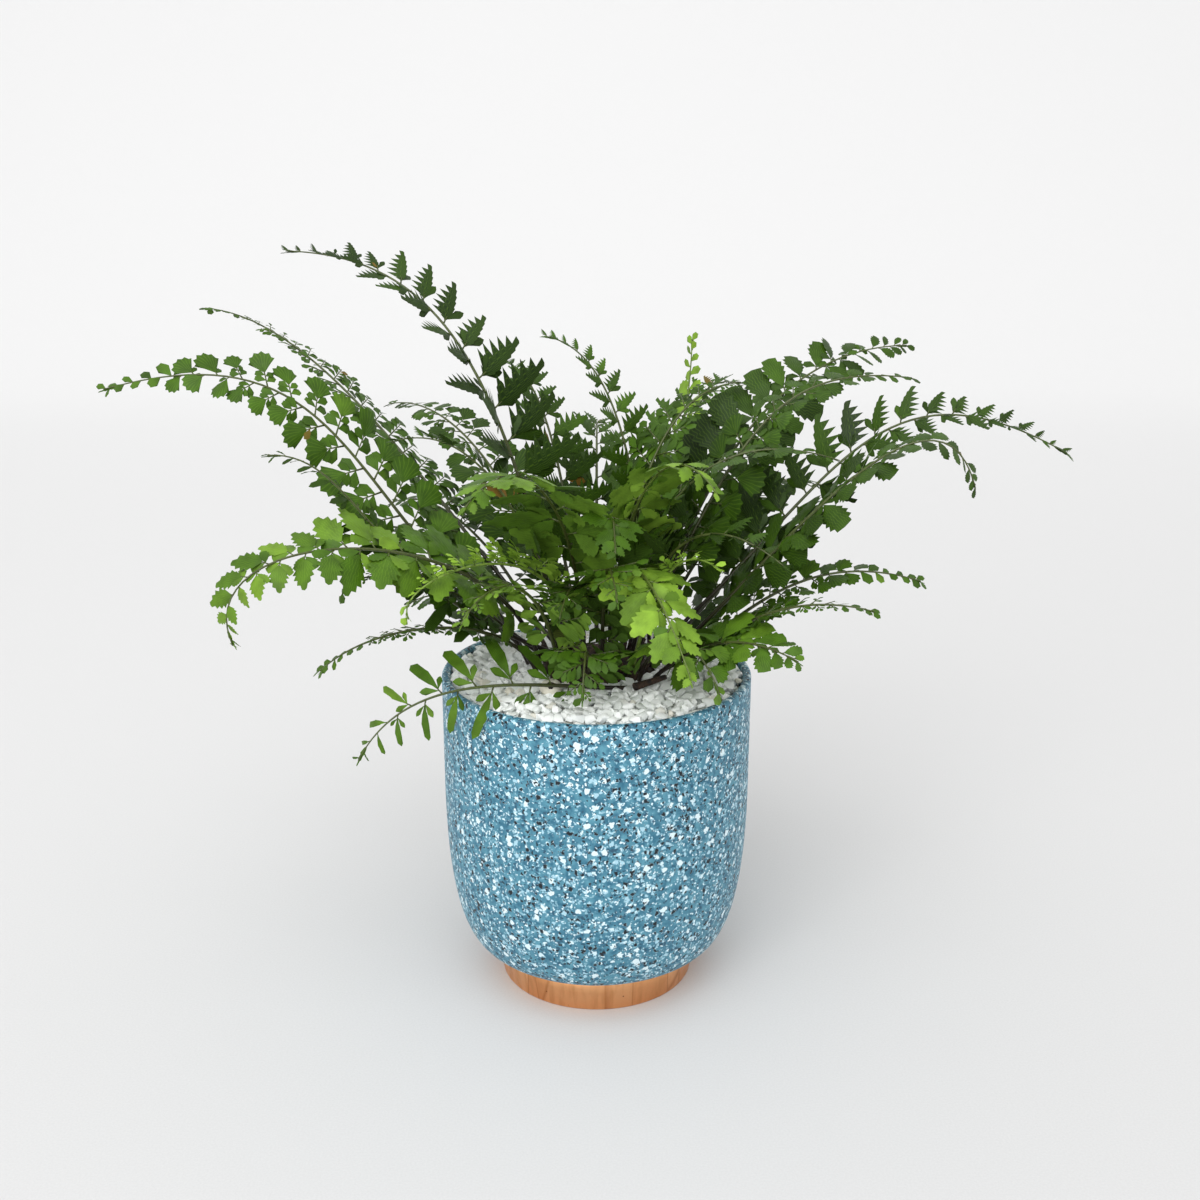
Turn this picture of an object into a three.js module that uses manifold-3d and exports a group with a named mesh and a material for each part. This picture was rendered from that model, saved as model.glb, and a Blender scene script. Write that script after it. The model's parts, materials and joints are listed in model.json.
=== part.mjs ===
// A fern with twice-cut fronds, planted in a speckled cast pot that stands on a copper-faced foot.
// Millimetres, +Z up. The origin is the middle of the foot's underside, on the pot's axis; -Y is the front.
import * as THREE from "three";
import { mergeVertices } from "three/addons/utils/BufferGeometryUtils.js";
import Module from "manifold-3d";

const wasm = await Module();
wasm.setup();

// Driving dimensions of the pot.
const POT_RADIUS = 75;
const RIM_HEIGHT = 159;
const WALL = 4;
const FOOT_HEIGHT = 19;
const FOOT_TOP_RADIUS = 50;
const FOOT_BASE_RADIUS = 48;
const STRAIGHT_WALL = 57; // length of the cylindrical stretch below the rim
const POT_FLOOR_RADIUS = 54.5; // where the rounded belly meets the flat underside
const POT_FLOOR = 6; // thickness of the pot's bottom
const BELLY_DROP = 54; // handle lengths of the belly's curve, below the wall and beside the underside
const BELLY_RUN = 13;
const LIP = 1.5; // rounding of the rim
const AROUND = 40; // facets round the pot
const GAP = 0.3; // clearance between pieces that bear on each other

// Filling, measured from the rim plane.
const MIX_BELOW_RIM = 14;
const CROWN_RADIUS = 39;
const CROWN_HEIGHT = 12;
const PEBBLES_AT_WALL = -3;
const PEBBLES_AT_CROWN = 2;

// Fronds.
const STIPE_WIDTH = 2.4;
const BLADE_THICKNESS = 1.2;
const STIPE_STEPS = 4;
const PINNA_ROOT = 0.5; // width of a pinna where it leaves the rachis, as a share of the pitch
const PINNA_BACK = 0.1; // how far its back edge leans forward at half its length, as a share of the pitch
const PINNA_LEAN = 0.15; // how far its tip points forward, as a share of its length
const SHORTEST_PINNA = 3.5;
const PINNA_CLEARANCE = 2; // pinnae stay this far above the rim plane while they are over the pot

// Each frond lies in an upright plane. `heading` is its compass direction in degrees from +X, and
// `offset` is how far the plane stands beside the pot's axis. `root` is the distance out of its foot on
// the crown. `rise`, `shoulder` and `tip` are [distance out, height above the rim] of the points that
// steer its arc. `roll` turns the blade about its midrib, `reach` is its longest pinna, `bare` the share
// of the arc with no pinnae, and `pairs` the number of pinna pairs.
const FRONDS = [
  [160, 0, 14, [50, 130], [65, 195], [160, 195], -16, 31, 0.25, 8],
  [148, 0, 24, [95, 70], [165, 160], [250, 160], 10, 21, 0.28, 8],
  [186, 0, 26, [120, 80], [105, 170], [220, 140], -45, 26, 0.23, 8],
  [198, 0, 20, [110, 50], [110, 115], [150, 115], -25, 22, 0.28, 6],
  [208, 0, 30, [45, 85], [195, 100], [175, 40], -30, 26, 0.18, 8],
  [195, -4, 33, [50, 50], [120, 65], [120, 45], -10, 15, 0.23, 6],
  [203, 6, 33, [45, 38], [110, 42], [136, 20], 0, 12, 0.23, 6],
  [195, 36, -8, [36, 6], [95, 26], [120, -20], -50, 26, 0.23, 6],
  [242, 0, 14, [15, 90], [70, 128], [112, 104], 0, 31, 0.31, 7],
  [216, 4, 22, [10, 85], [115, 68], [104, 46], 0, 15, 0.33, 7],
  [236, 0, 31, [40, 58], [78, 72], [102, 50], 0, 24, 0.15, 6],
  [265, 0, 34, [42, 30], [56, 34], [70, 10], 0, 24, 0.13, 6],
  [292, 0, 22, [15, 65], [50, 85], [106, 30], 0, 29, 0.18, 7],
  [276, 0, 26, [25, 60], [52, 78], [86, 60], 10, 28, 0.23, 6],
  [306, 0, 34, [46, 36], [74, 42], [92, 14], 0, 26, 0.13, 6],
  [312, 0, 10, [15, 95], [50, 128], [78, 100], -10, 21, 0.38, 6],
  [322, 0, 35, [60, 30], [85, 36], [112, 28], 20, 22, 0.15, 6],
  [334, 0, 34, [66, 26], [90, 54], [136, 48], 5, 15, 0.18, 7],
  [345, 0, 30, [65, 30], [150, 172], [172, 100], 15, 22, 0.25, 8],
  [353, 0, 36, [70, 28], [95, 66], [152, 50], 25, 17, 0.18, 7],
  [2, 0, 26, [115, 90], [125, 158], [222, 105], 42, 27, 0.21, 8],
  [12, 0, 18, [70, 105], [78, 148], [155, 137], 15, 23, 0.25, 7],
  [20, 0, 35, [65, 35], [100, 76], [132, 66], 0, 21, 0.18, 6],
  [28, 0, 24, [60, 90], [95, 150], [180, 146], 38, 25, 0.25, 8],
  [62, -6, 14, [64, 58], [92, 110], [92, 150], -20, 21, 0.28, 6],
  [150, -36, -10, [-4, 90], [8, 150], [50, 154], -20, 22, 0.28, 7],
  [128, 0, 25, [55, 75], [120, 122], [190, 105], -10, 24, 0.23, 7],
  [39, 0, 35, [62, 50], [110, 92], [152, 70], 10, 22, 0.23, 7],
  [57, 4, 27, [50, 90], [98, 140], [152, 118], 0, 24, 0.23, 7],
  [76, 0, 35, [50, 50], [100, 82], [142, 48], -10, 22, 0.23, 7],
  [90, 0, 22, [40, 80], [80, 118], [142, 93], 10, 24, 0.23, 7],
  [106, 0, 35, [55, 50], [112, 86], [162, 52], 0, 22, 0.23, 7],
  [116, 0, 14, [36, 100], [64, 140], [115, 135], 10, 24, 0.28, 7],
  [138, 0, 35, [56, 45], [112, 80], [152, 58], -10, 22, 0.23, 7],
  [166, 0, 35, [60, 42], [85, 76], [118, 62], 0, 22, 0.23, 7],
  [176, 8, 12, [34, 90], [60, 124], [95, 112], 10, 24, 0.28, 7],
  [256, 0, 22, [27, 48], [42, 66], [66, 46], 0, 26, 0.15, 6],
  [272, 6, 12, [14, 80], [34, 100], [66, 76], -10, 22, 0.33, 6],
  [328, 0, 20, [30, 70], [58, 92], [98, 66], 10, 26, 0.18, 7],
  [352, 2, 9, [26, 96], [60, 122], [112, 106], 0, 24, 0.28, 7],
  [36, 0, 9, [22, 100], [46, 134], [88, 132], 10, 22, 0.33, 7],
  [84, -14, 34, [56, 26], [92, 42], [126, 14], 0, 19, 0.18, 6],
  [152, 4, 36, [60, 22], [84, 36], [108, 18], 0, 19, 0.18, 6],
  [314, 0, 25, [34, 40], [48, 78], [78, 66], 0, 15, 0.23, 6],
].map(([heading, offset, root, rise, shoulder, tip, roll, reach, bare, pairs]) => ({
  heading, offset, root, rise, shoulder, tip, roll, reach, bare, pairs,
}));

const degrees = THREE.MathUtils.degToRad;
const vector = ([x, y]) => new THREE.Vector2(x, y);
const finish = (color, roughness, metalness = 0) =>
  new THREE.MeshStandardMaterial({ color, roughness, metalness });

const terrazzo = finish("#719cae", 0.55);
const copperLeaf = finish("#c48a58", 0.4, 0.9);
const darkMix = finish("#2b221a", 0.95);
const whiteStone = finish("#dfe3df", 0.8);
const scalyRhizome = finish("#2a1d14", 0.9);
const leafGreen = finish("#456a1f", 0.5);

const plant = new THREE.Group();

function addPiece(name, geometry, material) {
  const piece = new THREE.Mesh(geometry, material);
  piece.name = name;
  plant.add(piece);
  return piece;
}

// A solid turned about the pot's axis from [radius, height] points, listed from its underside outwards
// and up.
function turned(points) {
  return new THREE.LatheGeometry(points.map(vector), AROUND).rotateX(Math.PI / 2);
}

// Points of the pot's belly, from the wall down to the underside, grown inwards by `inset`.
function bellyCurve(inset, floorHeight, steps) {
  const wallEnd = RIM_HEIGHT - STRAIGHT_WALL;
  const curve = new THREE.CubicBezierCurve(
    new THREE.Vector2(POT_RADIUS - inset, wallEnd),
    new THREE.Vector2(POT_RADIUS - inset, wallEnd - BELLY_DROP + inset),
    new THREE.Vector2(POT_FLOOR_RADIUS - inset + BELLY_RUN, floorHeight),
    new THREE.Vector2(POT_FLOOR_RADIUS - inset, floorHeight),
  );
  return curve.getPoints(steps).map((p) => [p.x, p.y]);
}

function potBody() {
  const outside = bellyCurve(0, FOOT_HEIGHT, 7).reverse();
  const lip = [
    [POT_RADIUS, RIM_HEIGHT - LIP],
    [POT_RADIUS - LIP, RIM_HEIGHT],
    [POT_RADIUS - WALL + LIP, RIM_HEIGHT],
    [POT_RADIUS - WALL, RIM_HEIGHT - LIP],
  ];
  const inside = bellyCurve(WALL, FOOT_HEIGHT + POT_FLOOR, 5);
  return turned([[0, FOOT_HEIGHT], ...outside, ...lip, ...inside, [0, FOOT_HEIGHT + POT_FLOOR]]);
}

function potFoot() {
  const chamfer = 0.8;
  return turned([
    [0, 0],
    [FOOT_BASE_RADIUS - chamfer, 0],
    [FOOT_BASE_RADIUS, chamfer],
    [FOOT_TOP_RADIUS, FOOT_HEIGHT],
    [0, FOOT_HEIGHT],
  ]);
}

function pottingMix() {
  const surface = RIM_HEIGHT - MIX_BELOW_RIM;
  const side = bellyCurve(WALL + GAP, FOOT_HEIGHT + POT_FLOOR + GAP, 5).reverse();
  const floor = FOOT_HEIGHT + POT_FLOOR + GAP;
  return turned([[0, floor], ...side, [POT_RADIUS - WALL - GAP, surface], [0, surface]]);
}

function pebbleLayer() {
  const bottom = RIM_HEIGHT - MIX_BELOW_RIM + GAP;
  const outer = POT_RADIUS - WALL - GAP;
  const inner = CROWN_RADIUS + GAP;
  return turned([
    [inner, bottom],
    [outer, bottom],
    [outer, RIM_HEIGHT + PEBBLES_AT_WALL],
    [(outer + inner) / 2, RIM_HEIGHT + PEBBLES_AT_CROWN - 1],
    [inner, RIM_HEIGHT + PEBBLES_AT_CROWN],
    [inner, bottom],
  ]);
}

// Height of the crown's domed top at a distance from the axis.
function crownTop(distance) {
  return RIM_HEIGHT + CROWN_HEIGHT * (1 - (distance / CROWN_RADIUS) ** 2);
}

function crown() {
  const bottom = RIM_HEIGHT - MIX_BELOW_RIM + GAP;
  const dome = [1, 0.9, 0.7, 0.45].map((share) => [CROWN_RADIUS * share, crownTop(CROWN_RADIUS * share)]);
  return turned([[0, bottom], [CROWN_RADIUS, bottom], ...dome, [0, crownTop(0)]]);
}

// The frond's arc, and the crosswise frame at each place on it.
function frondArc(frond) {
  const out = new THREE.Vector3(Math.cos(degrees(frond.heading)), Math.sin(degrees(frond.heading)), 0);
  const side = new THREE.Vector3(-out.y, out.x, 0);
  const place = (distance, height) =>
    side.clone().multiplyScalar(frond.offset).addScaledVector(out, distance).setZ(height);
  const rootHeight = crownTop(Math.hypot(frond.root, frond.offset)) + BLADE_THICKNESS;
  const curve = new THREE.CubicBezierCurve3(
    place(frond.root, rootHeight),
    place(frond.rise[0], RIM_HEIGHT + frond.rise[1]),
    place(frond.shoulder[0], RIM_HEIGHT + frond.shoulder[1]),
    place(frond.tip[0], RIM_HEIGHT + frond.tip[1]),
  );
  const frameAt = (share) => {
    const along = curve.getTangentAt(share);
    const face = along.clone().cross(side);
    const turn = degrees(frond.roll);
    return {
      point: curve.getPointAt(share),
      across: side.clone().multiplyScalar(Math.cos(turn)).addScaledVector(face, Math.sin(turn)),
      face: face.clone().multiplyScalar(Math.cos(turn)).addScaledVector(side, -Math.sin(turn)),
    };
  };
  return { length: curve.getLength(), frameAt };
}

// The corners of a flat slab's triangles, three at a time, drawn with x along the frond and y across it.
function slabTriangles(outline) {
  const shape = new THREE.Shape(outline.map(vector));
  const slab = new THREE.ExtrudeGeometry(shape, { depth: BLADE_THICKNESS, bevelEnabled: false });
  const position = slab.getAttribute("position");
  return Array.from({ length: position.count / 3 }, (_, i) =>
    [0, 1, 2].map((corner) => new THREE.Vector3().fromBufferAttribute(position, 3 * i + corner)),
  );
}

// Joins flat stretches end to end into one slab and bends it on to the frond's arc. The walls where two
// stretches meet are dropped, and those at `from` and `to` close the ends.
function bentSlab(outlines, arc, from, to) {
  const ends = [Math.fround(from), Math.fround(to)];
  const isInnerWall = ([a, b, c]) => a.x === b.x && b.x === c.x && !ends.includes(a.x);
  const corners = outlines.flatMap(slabTriangles).filter((triangle) => !isInnerWall(triangle)).flat();
  const bent = corners.map(({ x, y, z }) => {
    const frame = arc.frameAt(THREE.MathUtils.clamp(x / arc.length, 0, 1));
    const lift = z - BLADE_THICKNESS / 2;
    return frame.point.addScaledVector(frame.across, y).addScaledVector(frame.face, lift);
  });
  return mergeVertices(new THREE.BufferGeometry().setFromPoints(bent), 1e-4);
}

function solidOf(geometry) {
  return new wasm.Manifold(
    new wasm.Mesh({
      numProp: 3,
      vertProperties: geometry.getAttribute("position").array,
      triVerts: new Uint32Array(geometry.index.array),
    }),
  );
}

// Places along the frond where one stretch ends and the next begins: the bare stipe, then one per pinna
// pair.
function stationsOf(frond, arc) {
  const bladeStart = frond.bare * arc.length;
  const pitch = (arc.length - bladeStart) / (frond.pairs + 0.4);
  const stipe = Array.from({ length: STIPE_STEPS }, (_, i) => (bladeStart * i) / STIPE_STEPS);
  const blade = Array.from({ length: frond.pairs }, (_, i) => bladeStart + pitch * i);
  return { places: [...stipe, ...blade, arc.length], pitch };
}

// Length of the pinnae of the i-th pair. The longest stand a quarter of the way up the blade.
function pinnaLength(frond, i) {
  const share = (i + 0.5) / frond.pairs;
  const taper = share < 0.25 ? 0.7 + 1.2 * share : (1 - share) / 0.75;
  return Math.max(SHORTEST_PINNA, frond.reach * taper);
}

// A pinna's outline on the side whose sign is given, from the back of its root round to the front of it.
function pinnaOutline(start, length, pitch, sign) {
  const half = STIPE_WIDTH / 2;
  return [
    [start + pitch * PINNA_BACK, sign * (half + length * 0.5)],
    [start + pitch * PINNA_ROOT + length * PINNA_LEAN, sign * (half + length)],
    [start + pitch * PINNA_ROOT, sign * half],
  ];
}

// The flat outline of a frond's n-th stretch, with a pinna on the right and on the left where asked.
function stretch(frond, arc, n, right, left) {
  const { places, pitch } = stationsOf(frond, arc);
  const [start, end] = [places[n], places[n + 1]];
  const half = STIPE_WIDTH / 2;
  const length = pinnaLength(frond, n - STIPE_STEPS);
  const rightPinna = right ? pinnaOutline(start, length, pitch, -1) : [];
  const leftPinna = left ? pinnaOutline(start, length, pitch, 1).reverse() : [];
  return [[start, -half], ...rightPinna, [end, -half], [end, half], ...leftPinna, [start, half]];
}

// True when two solids share some volume.
function meets(a, b) {
  return a.intersect(b).volume() > 1e-4;
}

// Real pinnae push each other aside, so one that would run through a neighbouring frond or the pot is left
// out.
function growFronds() {
  const pot = wasm.Manifold.cylinder(RIM_HEIGHT + PINNA_CLEARANCE, POT_RADIUS, POT_RADIUS, AROUND);
  const arcs = FRONDS.map(frondArc);
  const grow = (k, kept) => {
    const outlines = kept.map(([right, left], n) => stretch(FRONDS[k], arcs[k], n, right, left));
    return bentSlab(outlines, arcs[k], 0, arcs[k].length);
  };
  const bare = (frond) => Array(STIPE_STEPS + frond.pairs).fill([false, false]);
  const standing = FRONDS.map((frond, k) => solidOf(grow(k, bare(frond))));
  standing.forEach((a, i) =>
    standing.slice(i + 1).forEach((b, j) => {
      if (meets(a, b)) throw new Error(`midribs ${i + 1} and ${i + j + 2} cross`);
    }),
  );
  return FRONDS.map((frond, k) => {
    const { places } = stationsOf(frond, arcs[k]);
    const isClear = (n, right, left) => {
      const outline = stretch(frond, arcs[k], n, right, left);
      const trial = solidOf(bentSlab([outline], arcs[k], places[n], places[n + 1]));
      return !meets(trial, pot) && standing.every((other, j) => j === k || !meets(trial, other));
    };
    const kept = bare(frond).map((_, n) => {
      if (n < STIPE_STEPS) return [false, false];
      const right = isClear(n, true, false);
      return [right, isClear(n, right, true)];
    });
    const geometry = grow(k, kept);
    standing[k] = solidOf(geometry);
    return geometry;
  });
}

addPiece("pot_body", potBody(), terrazzo);
addPiece("pot_foot", potFoot(), copperLeaf);
addPiece("potting_mix", pottingMix(), darkMix);
addPiece("pebble_layer", pebbleLayer(), whiteStone);
addPiece("crown", crown(), scalyRhizome);
growFronds().forEach((geometry, k) => {
  addPiece(`frond_${String(k + 1).padStart(2, "0")}`, geometry, leafGreen);
});

export default plant;
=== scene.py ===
import json
import math
import random

import bmesh
import bpy
from mathutils import Matrix, Vector, noise

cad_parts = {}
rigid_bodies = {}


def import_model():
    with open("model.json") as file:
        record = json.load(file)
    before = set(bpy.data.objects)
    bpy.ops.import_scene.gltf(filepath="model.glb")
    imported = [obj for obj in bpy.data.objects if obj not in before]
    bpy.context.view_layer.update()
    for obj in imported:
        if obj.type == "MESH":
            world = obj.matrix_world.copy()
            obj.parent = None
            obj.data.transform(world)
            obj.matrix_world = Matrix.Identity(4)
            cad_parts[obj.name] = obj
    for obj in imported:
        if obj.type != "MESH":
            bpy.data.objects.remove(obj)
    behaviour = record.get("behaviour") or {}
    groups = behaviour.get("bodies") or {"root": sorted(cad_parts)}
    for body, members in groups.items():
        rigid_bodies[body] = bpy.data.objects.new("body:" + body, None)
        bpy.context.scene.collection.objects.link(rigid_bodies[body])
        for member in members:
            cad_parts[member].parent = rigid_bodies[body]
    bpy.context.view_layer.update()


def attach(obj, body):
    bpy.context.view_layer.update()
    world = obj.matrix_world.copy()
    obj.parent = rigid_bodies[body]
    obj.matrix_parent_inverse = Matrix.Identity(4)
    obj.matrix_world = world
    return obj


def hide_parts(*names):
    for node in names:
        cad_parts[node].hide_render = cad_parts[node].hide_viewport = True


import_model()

# A fern with twice-cut fronds in a terrazzo pot with a copper-leafed foot, dressed with marble chips.
# Lengths in the tables and in the flat frond space are millimetres; every finished mesh is in metres.
MM = 0.001
SEED = 7

# The pot, as in the solids.
POT_RADIUS = 75
RIM_HEIGHT = 159
WALL = 4
LIP = 1.5
FOOT_HEIGHT = 19
FOOT_TOP_RADIUS = 50
FOOT_BASE_RADIUS = 48
STRAIGHT_WALL = 57
POT_FLOOR_RADIUS = 54.5
POT_FLOOR = 6
BELLY_DROP = 54
BELLY_RUN = 13
MIX_BELOW_RIM = 14
CROWN_RADIUS = 39
CROWN_HEIGHT = 12
AROUND = 128  # segments round the pot

# Chips cast into the pot: mean distance between them in mm, the share of places that hold one, how far a
# chip fills its place, and its colour. Later rows lie over earlier ones.
TERRAZZO_CHIPS = [
    (1.9, 0.40, 0.48, "#27536b"),
    (1.5, 0.34, 0.46, "#8fbccd"),
    (2.4, 0.42, 0.48, "#a9d2e2"),
    (1.4, 0.26, 0.46, "#dff4fb"),
    (2.8, 0.36, 0.45, "#d3ebf3"),
    (2.8, 0.26, 0.44, "#04141e"),
    (3.9, 0.24, 0.42, "#dff2f8"),
    (1.8, 0.22, 0.46, "#03101a"),
]
CHIP_RAGGEDNESS = 0.0032  # how far the outlines of the cast chips wander, in metres

# Top dressing.
CHIP_PITCH = 5.0  # distance between neighbouring chips
CHIP_SIZE = 6.4  # mean length of a chip
CHIP_JITTER = 1.1  # how far a chip strays from its place on the grid
CHIP_SHAPES = 9
CHIP_EDGE = 0.75  # edges of a chip that turn by more than this many radians look sharp
CHIP_BEDS = (6.0, 3.2, 0.6)  # depths of the beds of chips below the dressing's surface
DRESSED_FROM = 29  # the chips lie over the edge of the crown up to this radius
DRESSED_TO = POT_RADIUS - WALL - 1.9
DRESSING_RISE = 2.6  # height above the rim of the dressing's inner edge
DRESSING_FALL = 3.4  # how far the dressing falls from there to the wall
PEBBLE_PLACE = (-21, -37, RIM_HEIGHT + 4.2)
PEBBLE_RADIUS = 5.2
PEBBLE_SCAR = Vector((0.1, -0.75, 0.65)).normalized()  # where the dark scar lies on the round pebble

# Crown.
CROWN_SHOWN = 33  # radius of the crown as far as it shows
BROKEN_STALKS = 46
FALLEN_STALK_PLACE = (25, -33, RIM_HEIGHT + 5.5)

# Stipes and leaflets.
STIPE_RADIUS = 1.15
TIP_RADIUS = 0.28
RACHIS_SIDES = 6
RACHIS_CUTS = 46
ARC_STEPS = 160
LEAF_THICKNESS = 0.014  # as a share of the leaflet's length

# Camera: the eye stands in front of the rim and looks slightly down.
EYE = (1.7, -674, 400)
EYE_PITCH = -16.98
LENS = 44.06

# Each frond lies in an upright plane, on the same arc as its solid: heading (compass direction in degrees
# from +X), offset of the plane from the pot's axis, distance out of its root, then three points that steer
# the arc (rise, shoulder and tip, each as distance out and height above the rim), roll of the blade about
# its midrib, reach of its longest pinna, bare share of the arc, form of its pinnae, and how bright its green
# is, from 0 (old) to 1 (young).
FRONDS = [
    (160, 0, 14, (50, 130), (65, 195), (160, 195), -16, 36, 0.22, "comb", 0.08),
    (148, 0, 24, (95, 70), (165, 160), (250, 160), 10, 24, 0.25, "feather", 0.35),
    (186, 0, 26, (120, 80), (105, 170), (220, 140), -45, 30, 0.2, "fan", 0.42),
    (198, 0, 20, (110, 50), (110, 115), (150, 115), -25, 26, 0.25, "strap", 0.1),
    (208, 0, 30, (45, 85), (195, 100), (175, 40), -30, 30, 0.15, "broad", 0.6),
    (195, -4, 33, (50, 50), (120, 65), (120, 45), -10, 18, 0.2, "feather", 0.4),
    (203, 6, 33, (45, 38), (110, 42), (136, 20), 0, 14, 0.2, "feather", 0.4),
    (195, 36, -8, (36, 6), (95, 26), (120, -20), -50, 30, 0.2, "strap", 0.5),
    (242, 0, 14, (15, 90), (70, 128), (112, 104), 0, 36, 0.28, "broad", 0.55),
    (216, 4, 22, (10, 85), (115, 68), (104, 46), 0, 18, 0.3, "curl", 0.98),
    (236, 0, 31, (40, 58), (78, 72), (102, 50), 0, 28, 0.12, "feather", 0.65),
    (265, 0, 34, (42, 30), (56, 34), (70, 10), 0, 28, 0.1, "feather", 0.4),
    (292, 0, 22, (15, 65), (50, 85), (106, 30), 0, 32, 0.15, "broad", 0.72),
    (276, 0, 26, (25, 60), (52, 78), (86, 60), 10, 32, 0.2, "feather", 0.45),
    (306, 0, 34, (46, 36), (74, 42), (92, 14), 0, 30, 0.1, "fan", 0.55),
    (312, 0, 10, (15, 95), (50, 128), (78, 100), -10, 24, 0.35, "broad", 0.7),
    (322, 0, 35, (60, 30), (85, 36), (112, 28), 20, 26, 0.12, "round", 0.45),
    (334, 0, 34, (66, 26), (90, 54), (136, 48), 5, 18, 0.15, "feather", 0.4),
    (345, 0, 30, (65, 30), (150, 172), (172, 100), 15, 25, 0.22, "round", 0.2),
    (353, 0, 36, (70, 28), (95, 66), (152, 50), 25, 20, 0.15, "fan", 0.45),
    (2, 0, 26, (115, 90), (125, 158), (222, 105), 42, 31, 0.18, "comb", 0.14),
    (12, 0, 18, (70, 105), (78, 148), (155, 137), 15, 27, 0.22, "fan", 0.25),
    (20, 0, 35, (65, 35), (100, 76), (132, 66), 0, 24, 0.15, "round", 0.25),
    (28, 0, 24, (60, 90), (95, 150), (180, 146), 38, 29, 0.22, "round", 0.22),
    (62, -6, 14, (64, 58), (92, 110), (92, 150), -20, 24, 0.25, "fan", 0.8),
    (150, -36, -10, (-4, 90), (8, 150), (50, 154), -20, 26, 0.25, "comb", 0.3),
    (128, 0, 25, (55, 75), (120, 122), (190, 105), -10, 28, 0.2, "fan", 0.21),
    (39, 0, 35, (62, 50), (110, 92), (152, 70), 10, 26, 0.2, "round", 0.26),
    (57, 4, 27, (50, 90), (98, 140), (152, 118), 0, 28, 0.2, "comb", 0.26),
    (76, 0, 35, (50, 50), (100, 82), (142, 48), -10, 26, 0.2, "fan", 0.26),
    (90, 0, 22, (40, 80), (80, 118), (142, 93), 10, 28, 0.2, "comb", 0.21),
    (106, 0, 35, (55, 50), (112, 86), (162, 52), 0, 26, 0.2, "broad", 0.31),
    (116, 0, 14, (36, 100), (64, 140), (115, 135), 10, 28, 0.25, "comb", 0.21),
    (138, 0, 35, (56, 45), (112, 80), (152, 58), -10, 26, 0.2, "fan", 0.26),
    (166, 0, 35, (60, 42), (85, 76), (118, 62), 0, 26, 0.2, "fan", 0.21),
    (176, 8, 12, (34, 90), (60, 124), (95, 112), 10, 28, 0.25, "comb", 0.26),
    (256, 0, 22, (27, 48), (42, 66), (66, 46), 0, 30, 0.12, "feather", 0.25),
    (272, 6, 12, (14, 80), (34, 100), (66, 76), -10, 26, 0.3, "broad", 0.36),
    (328, 0, 20, (30, 70), (58, 92), (98, 66), 10, 30, 0.15, "comb", 0.16),
    (352, 2, 9, (26, 96), (60, 122), (112, 106), 0, 28, 0.25, "fan", 0.26),
    (36, 0, 9, (22, 100), (46, 134), (88, 132), 10, 26, 0.3, "feather", 0.31),
    (84, -14, 34, (56, 26), (92, 42), (126, 14), 0, 22, 0.15, "round", 0.31),
    (152, 4, 36, (60, 22), (84, 36), (108, 18), 0, 22, 0.15, "round", 0.31),
    (314, 0, 25, (34, 40), (48, 78), (78, 66), 0, 18, 0.2, "curl", 0.9),
]
# Distance between pinnae on one side near the foot of the blade, as a share of the longest pinna.
PINNA_PITCH = {
    "comb": 0.5, "fan": 0.5, "round": 0.44, "broad": 0.5, "strap": 0.6, "feather": 0.52, "curl": 0.7}
CROWDING = 1.34  # how much closer the pinnae stand toward the frond's tip
# How soon the pinnae shorten toward the tip: 1 is a straight taper, less keeps them long for longer.
TAPER = {
    "comb": 0.7, "fan": 0.7, "round": 0.52, "broad": 0.55, "strap": 0.6, "feather": 0.7, "curl": 0.8}
SHORTEST_PINNA = 5.5
LIFT = {"comb": 24, "curl": 34}  # degrees by which the two sides of a blade fold upward
LEAN_AT_FOOT = 18  # degrees by which a pinna leans forward at the foot of the blade
LEAN_GAINED = 36  # and how much more at its tip


# ---------------------------------------------------------------- materials

def linear(hex_colour):
    """An sRGB hex colour as linear RGBA."""
    shares = [int(hex_colour[i:i + 2], 16) / 255 for i in (1, 3, 5)]
    return tuple(c / 12.92 if c <= 0.04045 else ((c + 0.055) / 1.055) ** 2.4 for c in shares) + (1.0,)


def add_node(tree, kind, inputs=(), **settings):
    """Adds a node with its settings. `inputs` maps its sockets, or lists them in order, to plain values, hex
    colours or the outputs that feed them."""
    made = tree.nodes.new(kind)
    for key, value in settings.items():
        setattr(made, key, value)
    for key, value in inputs.items() if isinstance(inputs, dict) else enumerate(inputs):
        if isinstance(value, bpy.types.NodeSocket):
            tree.links.new(value, made.inputs[key])
        else:
            made.inputs[key].default_value = linear(value) if isinstance(value, str) else value
    return made


def new_material(name):
    """An empty material with its node tree and object coordinates."""
    made = bpy.data.materials.new(name)
    made.use_nodes = True
    tree = made.node_tree
    tree.nodes.clear()
    return made, tree, add_node(tree, "ShaderNodeTexCoord").outputs["Object"]


def shade(tree, inputs):
    """Closes a material: one shader with these inputs feeds its surface."""
    shader = add_node(tree, "ShaderNodeBsdfPrincipled", inputs)
    add_node(tree, "ShaderNodeOutputMaterial", {"Surface": shader.outputs["BSDF"]})


def per_metre(size_mm):
    """Texture scale that gives cells of a size in millimetres."""
    return 1000 / size_mm


def layered(tree, ground, layers):
    """A ground colour with other colours laid over it in turn, each as far as its mask says."""
    for mask, colour in layers:
        mix = add_node(tree, "ShaderNodeMix", {"Factor": mask, 6: ground, 7: colour}, data_type="RGBA")
        ground = mix.outputs[2]
    return ground


def lumps_and_spread(tree, coordinates, size_mm, detail, spread):
    """Noise with lumps of a real size, as it comes, and spread as (from low, from high, to low, to high)."""
    noise_inputs = {"Vector": coordinates, "Scale": per_metre(size_mm), "Detail": detail}
    lumps = add_node(tree, "ShaderNodeTexNoise", noise_inputs).outputs["Fac"]
    return lumps, add_node(tree, "ShaderNodeMapRange", (lumps, *spread)).outputs["Result"]


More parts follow.
